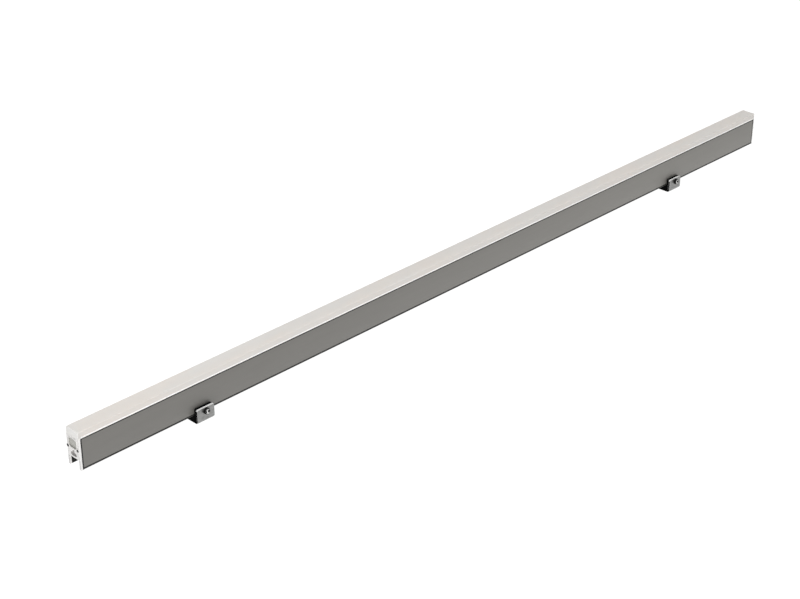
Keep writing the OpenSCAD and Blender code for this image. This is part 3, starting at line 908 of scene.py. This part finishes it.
@dataclass
class EndCap(Assembly):
    """One end of the lamp: cap with window, pocket and spigot, its gasket, its plug and its two screws.

    Spigot, window and pocket give half their width, lowest and highest Z, and then a depth or, for the
    window, its corner radius. The roots say how far spigot and frame go into the plate. Plug and neck
    give where they start and how long they are, and the dish gives its border, slope and depth.
    """

    outer: float = -500.0
    plate: float = 1.8
    gasket: float = 0.5
    half_width: float = 9.0
    shoulder_y: float = 8.5
    shoulder_z: float = 31.5
    top: float = 38.5
    top_round: float = 1.0
    seat_round: float = 0.4
    face_round: float = 0.35
    channel: Pair = (6.8, 9.4)
    spigot: Box = (7.1, 11.3, 17.5, 4.5)
    window: Box = (5.9, 19.6, 29.5, 3.2)
    frame_rim: float = 0.75
    frame_proud: float = 0.6
    frame_round: float = 0.2
    roots: Pair = (0.2, 0.5)
    recess: float = 1.0
    lip: float = 1.5
    pocket: Box = (4.0, 11.4, 14.8, 1.6)
    pocket_round: float = 1.39
    bay: Pair = (15.9, 1.5)
    screw: Pair = (7.0, 19.7)
    screw_head: Rings = ((-0.55, 1.1), (-0.51, 1.35), (-0.4, 1.47), (-0.26, 1.52), (0.3, 1.52), (0.35, 1.02))
    screw_thread: Box = (0.7, 10, 1.05, 0.78)
    screw_tip: Rings = ((7.7, 0.78), (8.0, 0.4))
    cross: Point = (0.7, 0.2, 0.1)
    collar: Rings = ((-0.6, 1.7), (-0.5, 1.89), (-0.3, 1.95), (0.5, 1.95))
    head_bore: float = 1.55
    gasket_bore: float = 1.15
    fit: float = 0.1
    plug: Pair = (0.2, 0.8)
    plug_round: float = 0.18
    neck: Pair = (0.5, 1.6)
    dish: Point = (0.5, 0.3, 0.4)
    dish_half: float = 1.0

    def rounded(self, start: float, depth: float, grow: float) -> Piece:
        """Makes a plate with the window's outline, grown by a border.

        Args:
            start: Where it starts along X.
            depth: How thick it is.
            grow: How far its outline stands outside the window's.

        Returns:
            The plate.
        """
        half, low, high, radius = self.window
        plate = self.bench.block((start, -half - grow, low - grow), (start + depth, half + grow, high + grow))
        self.bench.soften(plate, lambda c, d: runs(d, 0), radius + grow, 8)
        return plate

    def plate_bar(self, name: str, start: float, end: float) -> Piece:
        """Makes a plate with the lamp's end outline.

        Args:
            name: The plate's name.
            start: Where it starts along X.
            end: Where it ends.

        Returns:
            The plate.
        """
        w, y, z = self.half_width, self.shoulder_y, self.shoulder_z
        voids = [(-self.channel[0], -OVER, *self.channel), *both_sides(y, w + OVER, z, self.top + OVER)]
        plate = self.bench.bar(name, (start, end), (-w, 0), (w, self.top), voids)
        self.bench.soften_sides(plate, self.top_round, 6, y, self.top)
        self.bench.soften_sides(plate, self.seat_round, 4, w, z)
        return plate

    def make_cap(self) -> Piece:
        """Makes the cap at the near end.

        Returns:
            The cap.
        """
        bench, outer, inner = self.bench, self.outer, self.outer + self.plate
        spigot_root, frame_root = self.roots
        cap = self.plate_bar("end_cap", outer, inner)
        bench.soften(cap, lambda c, d: near(c.x, outer), self.face_round)
        half, low, high, depth = self.spigot
        bench.combine(cap, Joining.FUSE, bench.block((inner - spigot_root, -half, low),
                                                     (inner + depth, half, high)))
        rim = self.rounded(outer - self.frame_proud, self.frame_proud + frame_root, self.frame_rim)
        bench.soften(rim, lambda c, d: near(c.x, outer - self.frame_proud), self.frame_round, 3)
        bench.combine(cap, Joining.FUSE, rim)
        front = outer - 2 * OVER
        bench.combine(cap, Joining.CUT, self.rounded(front, outer + self.recess - front, 0))
        bench.combine(cap, Joining.CUT, self.rounded(front, inner + OVER - front, -self.lip))
        front = outer - OVER
        half, low, high, depth = self.pocket
        slot = bench.block((front, -half, low), (outer + depth, half, high))
        bench.soften(slot, lambda c, d: runs(d, 0), self.pocket_round, 8)
        z, radius = self.bay
        bench.combine(slot, Joining.FUSE, bench.rod((front, 0, z), LENGTHWISE, OVER + depth, radius))
        bench.combine(cap, Joining.CUT, slot)
        for side in SIDES:
            y, z = side * self.screw[0], self.screw[1]
            bench.combine(cap, Joining.FUSE, bench.turned("collar", (outer, y, z), LENGTHWISE, self.collar, 32))
            bench.bore(cap, (front, y, z), LENGTHWISE, self.plate + 2 * OVER, self.head_bore, 32)
        return cap

    def make_gasket(self) -> Piece:
        """Makes the foam gasket behind the cap.

        Returns:
            The gasket.
        """
        bench, start, fit = self.bench, self.outer + self.plate, self.fit
        gasket = self.plate_bar("gasket", start, start + self.gasket)
        half, low, high, _ = self.spigot
        front, depth = start - OVER, 3 * OVER
        bench.mill(gasket, (front, -half - fit, low - fit), (front + depth, half + fit, high + fit))
        bench.combine(gasket, Joining.CUT, self.rounded(front, depth, -self.lip))
        for side in SIDES:
            bench.bore(gasket, (front, side * self.screw[0], self.screw[1]), LENGTHWISE, depth, self.gasket_bore, 32)
        return gasket

    def make_plug(self) -> Piece:
        """Makes the grey plug: a dished head in the recess and a neck through the cap.

        Returns:
            The plug.
        """
        bench, face, (border, slope, depth) = self.bench, self.outer + self.plug[0], self.dish
        plug = self.rounded(face, self.plug[1], -self.fit)
        plug.name = plug.data.name = "fill_plug"
        bench.soften(plug, lambda c, d: near(c.x, face), self.plug_round, 3)
        bench.press(plug, lambda c, n: n.x < -PARALLEL and near(c.x, face), border, 0.0)
        bench.press(plug, lambda c, n: n.x < -PARALLEL and near(c.x, face) and abs(c.y) < self.dish_half,
                    slope, depth)
        start, length = self.neck
        bench.combine(plug, Joining.FUSE, self.rounded(face + start, length, -self.lip - self.fit))
        return plug

    def make_screw(self) -> Piece:
        """Makes one blackened cap screw with its cross recess and its thread.

        Returns:
            The screw, at the front side of the near end.
        """
        x, y, z = self.outer, -self.screw[0], self.screw[1]
        rings = (*self.screw_head, *thread(*self.screw_thread), *self.screw_tip)
        screw = self.bench.turned("cap_screw", (x, y, z), LENGTHWISE, rings, 32)
        long, thin, depth = self.cross
        for wide, high in ((long, thin), (thin, long)):
            self.bench.mill(screw, (x - 2 * OVER, y - wide, z - high), (x + depth, y + wide, z + high))
        return screw

    def is_pocket(self, c: Vector, n: Vector) -> bool:
        """Says whether a face of the near cap lies in its pocket."""
        inside = 2 * MARGIN < c.x - self.outer < self.plate - 2 * MARGIN and abs(c.y) < self.pocket[0] + MARGIN
        return inside and self.pocket[1] - MARGIN < c.z < sum(self.bay) + MARGIN

    def build(self) -> None:
        """Makes the near end's pieces and a mirrored set for the far end."""
        paints = self.paints
        cap, gasket, plug, front = self.make_cap(), self.make_gasket(), self.make_plug(), self.make_screw()
        back = self.bench.copy(front, "cap_screw_back", (0, 2 * self.screw[0], 0))
        for piece, slot, node, finish, *zones in (
                (cap, "white_cap", "end_cap_{}", paints.white, (paints.pocket, self.is_pocket)),
                (gasket, "dark_gasket", "end_gasket_{}", paints.gasket),
                (plug, "grey_silicone", "fill_plug_{}", paints.silicone),
                (front, "dark_steel", "end_cap_screws_{}", paints.black_screw),
                (back, "dark_steel", "end_cap_screws_{}", paints.black_screw)):
            self.bench.paint(piece, finish, *zones)
            self.bench.deliver_pair(piece, "lamp", slot, node, mirror=True)


@dataclass
class Grommet(Assembly):
    """The rubber grommet where a cord enters through the channel's roof."""

    place: Point = (-453.7, 0.0, 9.4)
    profile: Rings = ((-1.0, 4.4), (-0.85, 4.8), (-0.5, 5.0), (-0.15, 4.9), (0.0, 4.7), (0.0, 4.0), (1.6, 4.0),
                      (1.6, 4.7), (1.75, 4.9), (2.1, 5.0), (2.45, 4.8), (2.6, 4.4))
    cord: float = 2.5
    edge: float = 0.15

    def build(self) -> None:
        """Turns the grommet from a disc, with rounded flanges, and bores it."""
        bench, (x, y, z) = self.bench, self.place
        grommet = bench.turned("grommet", self.place, UPWARDS, self.profile, 56)
        low, high = self.profile[0][0] - OVER, self.profile[-1][0] + OVER
        bench.bore(grommet, (x, y, z + low), UPWARDS, high - low, self.cord, 56)
        bench.break_edges(grommet, self.edge)
        bench.paint(grommet, self.paints.rubber)
        bench.deliver(grommet, "lamp", "black_rubber", "cable_grommet")


@dataclass
class Bracket(Assembly):
    """A bent steel strip with its saddle, its two pads and its clamp screw, made at the near place.

    The saddle gives half its length, half its width and its top. Slots give length and width, ribs and
    grips half their width and their depth, and the socket its depth and radius.
    """

    near_x: float = -363.5
    far_x: float = 340.0
    half: float = 10.0
    strip: float = 2.0
    strip_edge: float = 0.18
    ear_in: float = 12.0
    ear_out: float = 14.0
    ear_top: float = 15.0
    ear_round: float = 1.3
    bends: Pair = (3.0, 1.0)
    slot: Pair = (9.0, 4.5)
    saddle: Point = (9.8, 8.9, 7.65)
    saddle_slot: Pair = (14.0, 9.5)
    saddle_slot_top: float = 9.0
    saddle_edge: float = 0.12
    ribs: Sequence[float] = (4.8, 6.2, 7.6)
    rib: Pair = (0.35, 0.5)
    pad_low: float = 3.2
    pad_edge: float = 0.1
    grips: Sequence[float] = (4.8, 6.2, 7.6, 9.0, 10.4, 11.8, 13.2)
    grip: Pair = (0.3, 0.35)
    front_face: float = 9.15
    clamp_pad: float = 1.9
    rear_pad: float = 2.85
    socket: Pair = (1.2, 1.55)
    screw_z: float = 11.4
    screw_bore: float = 2.05
    head_gap: float = 0.4
    head: Rings = ((-2.57, 2.1), (-2.5, 2.5), (-2.3, 2.9), (-1.9, 3.18), (-1.4, 3.3), (-0.25, 3.3), (0.0, 3.1),
                   (0.0, 2.0), (0.5, 2.0))
    screw_thread: Box = (0.75, 3, 1.66, 2.0)
    tip: Rings = ((2.9, 2.0), (3.25, 1.8), (3.25, 1.5), (4.25, 1.5), (4.45, 1.3))
    cross: Sequence[Point] = ((2.3, 1.2, 0.85), (0.6, 2.3, 0.95))
    head_face: float = 2.6
    rim: float = 2.6
    recess: Pair = (2.5, 0.6)
    glint_half: float = 0.65
    # How far an inner face turns along X to take the painted shade
    coat_tilt: float = 0.7
    # How far an outer face turns along X or up to take the painted highlight
    edge_tilt: float = 0.5

    def __post_init__(self) -> None:
        """Sets the bench up at the near bracket."""
        self.bench = Bench((self.near_x, LAMP[1], 0.0))

    def slot_tool(self, size: Pair, top: float) -> Piece:
        """Makes a tool with round ends that cuts a slot.

        Args:
            size: The slot's length and width.
            top: How high the tool reaches.

        Returns:
            The tool.
        """
        long, wide = size
        tool = self.bench.block((-long / 2, -wide / 2, -OVER), (long / 2, wide / 2, top))
        self.bench.soften(tool, lambda c, d: runs(d, 2), (wide - SLACK) / 2, 10)
        return tool

    def round_corners(self, obj: Piece, half: float) -> None:
        """Rounds the upper corners of an ear or a pad that reaches to a distance along X."""
        self.bench.soften(obj, lambda c, d: runs(d, 1) and near(abs(c.x), half) and near(c.z, self.ear_top),
                          self.ear_round, 8)

    def make_strip(self) -> Piece:
        """Bends the strip: a section with round bends, ears with round corners, a slot and a hole.

        Returns:
            The strip.
        """
        bench, half, out, inner, thick = self.bench, self.half, self.ear_out, self.ear_in, self.strip
        strip = bench.bar("bracket", (-half, half), (-out, 0), (out, self.ear_top),
                          [(-inner, thick, inner, self.ear_top + OVER)])
        bench.soften_sides(strip, self.bends[0], 8, out, 0)
        bench.soften_sides(strip, self.bends[1], 5, inner, thick)
        self.round_corners(strip, half)
        bench.combine(strip, Joining.CUT, self.slot_tool(self.slot, 2 * thick))
        bench.bore(strip, (0, -out - OVER, self.screw_z), CROSSWISE, 2 * thick, self.screw_bore)
        bench.break_edges(strip, self.strip_edge)
        return strip

    def make_saddle(self) -> Piece:
        """Makes the ribbed rubber saddle with its opening.

        Returns:
            The saddle.
        """
        (long, deep, top), (wide, low) = self.saddle, self.rib
        voids = [void for y in self.ribs for void in both_sides(y - wide, y + wide, top - low, top + OVER)]
        saddle = self.bench.bar("saddle", (-long, long), (-deep, self.strip), (deep, top), voids)
        self.bench.combine(saddle, Joining.CUT, self.slot_tool(self.saddle_slot, self.saddle_slot_top))
        self.bench.break_edges(saddle, self.saddle_edge)
        return saddle

    def make_pad(self, name: str, low: float, high: float, grip: float) -> Piece:
        """Makes an ear's pad with grip grooves along the side that touches the lamp.

        Args:
            name: The pad's name.
            low: Where it starts along Y.
            high: Where it ends along Y.
            grip: Which of the two takes the grooves.

        Returns:
            The pad.
        """
        long, (wide, depth) = self.saddle[0], self.grip
        start, end = (grip - OVER, grip + depth) if near(grip, low) else (grip - depth, grip + OVER)
        voids = [(start, z - wide, end, z + wide) for z in self.grips]
        pad = self.bench.bar(name, (-long, long), (low, self.pad_low), (high, self.ear_top), voids)
        self.round_corners(pad, long)
        self.bench.break_edges(pad, self.pad_edge)
        return pad

    def make_screw(self) -> Piece:
        """Makes the clamp screw: domed head with a cross recess, thread and plain tip.

        Returns:
            The screw.
        """
        y, z = -self.ear_out - self.head_gap, self.screw_z
        rings = (*self.head, *thread(*self.screw_thread), *self.tip)
        screw = self.bench.turned("clamp_screw", (0.0, y, z), CROSSWISE, rings, 56)
        face = y - self.head_face
        for wide, high, depth in self.cross:
            self.bench.mill(screw, (-wide, face - OVER, z - high), (wide, face + depth, z + high))
        return screw

    def off_axis(self, c: Vector) -> float:
        """Gives a place's distance from the clamp screw's axis."""
        return math.hypot(c.x, c.z - self.screw_z)

    def on_rim(self, c: Vector, n: Vector) -> bool:
        """Says whether a face lies on the side of the screw's head, which takes painted shade."""
        return c.y < -self.ear_out - self.head_gap and self.off_axis(c) > self.rim

    def in_recess(self, c: Vector) -> bool:
        """Says whether a place lies in the recess of the screw's head."""
        depth = -self.ear_out - self.head_gap - c.y
        return self.recess[1] < depth < self.recess[0] and self.off_axis(c) < self.rim

    def in_painted_shade(self, c: Vector, n: Vector) -> bool:
        """Says whether a face of the strip is an inner cut edge or an inner face, which take black rubber as painted
        shade.
        """
        return abs(c.y) < self.ear_in + MARGIN and (abs(n.x) > self.coat_tilt or c.z > self.strip - MARGIN)

    def build(self) -> None:
        """Makes the near bracket's pieces and moved copies for the far bracket."""
        bench, paints, front, behind = self.bench, self.paints, -self.front_face, self.ear_in - self.rear_pad
        strip, saddle, screw = self.make_strip(), self.make_saddle(), self.make_screw()
        clamp = self.make_pad("clamp_pad", front - self.clamp_pad, front, front)
        depth, radius = self.socket
        bench.bore(clamp, (0, front - self.clamp_pad - OVER, self.screw_z), CROSSWISE, OVER + depth, radius)
        rear = self.make_pad("rear_pad", behind, self.ear_in, behind)
        outside, half, tilt = self.ear_in + MARGIN, self.glint_half, self.edge_tilt
        # The strip's outer cut edges and ear tops take a light steel tone as a painted highlight
        edge_highlights = (paints.cut_edge, lambda c, n: abs(c.y) > outside and max(abs(n.x), n.z) > tilt)
        for piece, body, slot, finish, *zones in (
                # The strip's inner faces and inner cut edges take black rubber as painted shade
                (strip, "bracket_{}", "bracket_steel", paints.brushed, (paints.rubber, self.in_painted_shade), edge_highlights),
                (saddle, "bracket_{}", "black_rubber", paints.rubber),
                (rear, "bracket_{}", "black_rubber", paints.rubber),
                (clamp, "clamp_{}", "black_rubber", paints.rubber),
                # The head's side takes painted shade
                (screw, "screw_{}", "screw_steel", paints.polished, (paints.dark_steel, self.on_rim),
                 # The recess's outer arms take painted shade
                 (paints.dark_steel, lambda c, n: self.in_recess(c) and abs(c.x) > half),
                 # The recess's middle arm takes a painted glint
                 (paints.glint, lambda c, n: self.in_recess(c) and abs(c.x) < half))):
            bench.paint(piece, finish, *zones)
            bench.deliver_pair(piece, body, slot, f"{piece.name}_{{}}", (self.far_x - self.near_x, 0, 0))


@dataclass
class Insides:
    """What the cover and the chamber hide: the CAD's own solids in their finishes."""

    paints: Palette

    def build(self) -> None:
        """Gives each hidden node its finish."""
        p = self.paints
        dressed = {p.seal: ("cover_seal_front", "cover_seal_back"),
                   p.mask: tuple(f"led_board_{n}" for n in range(1, 5)), p.phosphor: ("led_packages",),
                   p.chip: ("board_resistors", "current_regulators"), p.solder: ("board_links",),
                   p.tape: ("thermal_tape",), p.zinc: ("board_screws",), p.nylon: ("terminal_block",),
                   p.brass: ("terminal_screws",), p.red: ("lead_positive",), p.black: ("lead_negative",)}
        for finish, names in dressed.items():
            for name in names:
                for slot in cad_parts[name].material_slots:
                    slot.material = finish.material()
                LOG.info("%s: %s", name, finish.name)


@dataclass(frozen=True)
class Softbox:
    """A square area light aimed at a point, in metres and watts."""

    name: str
    place: Point
    target: Point
    size: float
    watts: float

    def build(self) -> None:
        """Adds the light."""
        lamp = bpy.data.lights.new(self.name, "AREA")
        lamp.size, lamp.energy = self.size, self.watts
        holder = bpy.data.objects.new(self.name, lamp)
        holder.location = self.place
        aim = Vector(self.target) - Vector(self.place)
        holder.rotation_euler = aim.to_track_quat("-Z", "Y").to_euler()
        bpy.context.scene.collection.objects.link(holder)


@dataclass
class Studio:
    """Plain pale floor, soft lights and the photograph's camera."""

    floor_half: float = 6.0
    floor_low: float = 0.0002
    floor_colour: Point = (0.1, 0.1, 0.1)
    floor_grain: Pair = (30.0, 0.005)
    floor_glow: float = 1.0
    sky: float = 0.20
    camera_place: Point = (-1.2461, -1.1340, 0.8890)
    camera_down: float = 28.314
    camera_turn: float = -45.330
    camera_roll: float = -0.055
    camera_reach: Pair = (0.01, 50.0)
    focal_pixels: float = 1823.54
    frame_width: float = 800.0
    sensor: float = 36.0
    boxes: tuple[Softbox, ...] = (
        Softbox("key", (-0.1, -0.4, 4.0), (0.0, 0.0, 0.0), 1.6, 108.0),
        Softbox("front_fill", (-1.4, -1.3, 0.8), (-0.4, 0.0, 0.0), 0.8, 11.2),
        Softbox("back_fill", (0.9, 2.2, 1.2), (0.1, 0.0, 0.0), 1.0, 4.0),
    )

    def build_floor(self) -> None:
        """Adds the floor with a faint glow of its own, so that it stays white."""
        bench, (size, share) = Bench((0.0, 0.0, 0.0)), self.floor_grain
        bench.hold()
        bpy.ops.mesh.primitive_plane_add(size=2 * self.floor_half, location=(0, 0, -self.floor_low))
        floor = bench.take("floor")
        shader = Shader("studio_floor")
        shader.feed({"Base Color": shader.tint(self.floor_colour, 1 + shader.noise(size).swing(share)),
                     "Roughness": 0.9, "Specular IOR Level": 0.0, "Emission Color": (1.0, 1.0, 1.0, 1.0),
                     "Emission Strength": self.floor_glow})
        floor.data.materials.append(shader.material)

    def build_sky(self) -> None:
        """Sets an even white surround."""
        world = bpy.data.worlds.new("surround")
        world.use_nodes = True
        background = next(n for n in world.node_tree.nodes if n.type == "BACKGROUND")
        background.inputs["Color"].default_value = (1.0, 1.0, 1.0, 1.0)
        background.inputs["Strength"].default_value = self.sky
        bpy.context.scene.world = world
        bpy.context.scene.view_settings.view_transform = "Standard"

    def build_camera(self) -> None:
        """Sets the camera where the photograph's stood."""
        lens = bpy.data.cameras.new("camera")
        lens.sensor_width = self.sensor
        lens.lens = self.focal_pixels * self.sensor / self.frame_width
        lens.clip_start, lens.clip_end = self.camera_reach
        camera = bpy.data.objects.new("camera", lens)
        camera.location = self.camera_place
        aim = Euler((math.radians(90 - self.camera_down), 0.0, math.radians(self.camera_turn))).to_matrix()
        camera.rotation_euler = (aim @ Matrix.Rotation(math.radians(self.camera_roll), 3, "Z")).to_euler()
        bpy.context.scene.collection.objects.link(camera)
        bpy.context.scene.camera = camera

    def build(self) -> None:
        """Sets the whole studio up."""
        self.build_camera()
        self.build_sky()
        self.build_floor()
        for box in self.boxes:
            box.build()
        LOG.info("studio: %d soft lights", len(self.boxes))


def main() -> None:
    """Builds the studio and every assembly of the lamp."""
    logging.basicConfig(level=logging.INFO, format="%(message)s")
    paints = Palette()
    for assembly in (Studio(), Housing(paints), Cover(paints), EndCap(paints), Grommet(paints), Bracket(paints),
                     Insides(paints)):
        LOG.info("building %s", type(assembly).__name__)
        assembly.build()


if __name__ == "__main__":
    main()
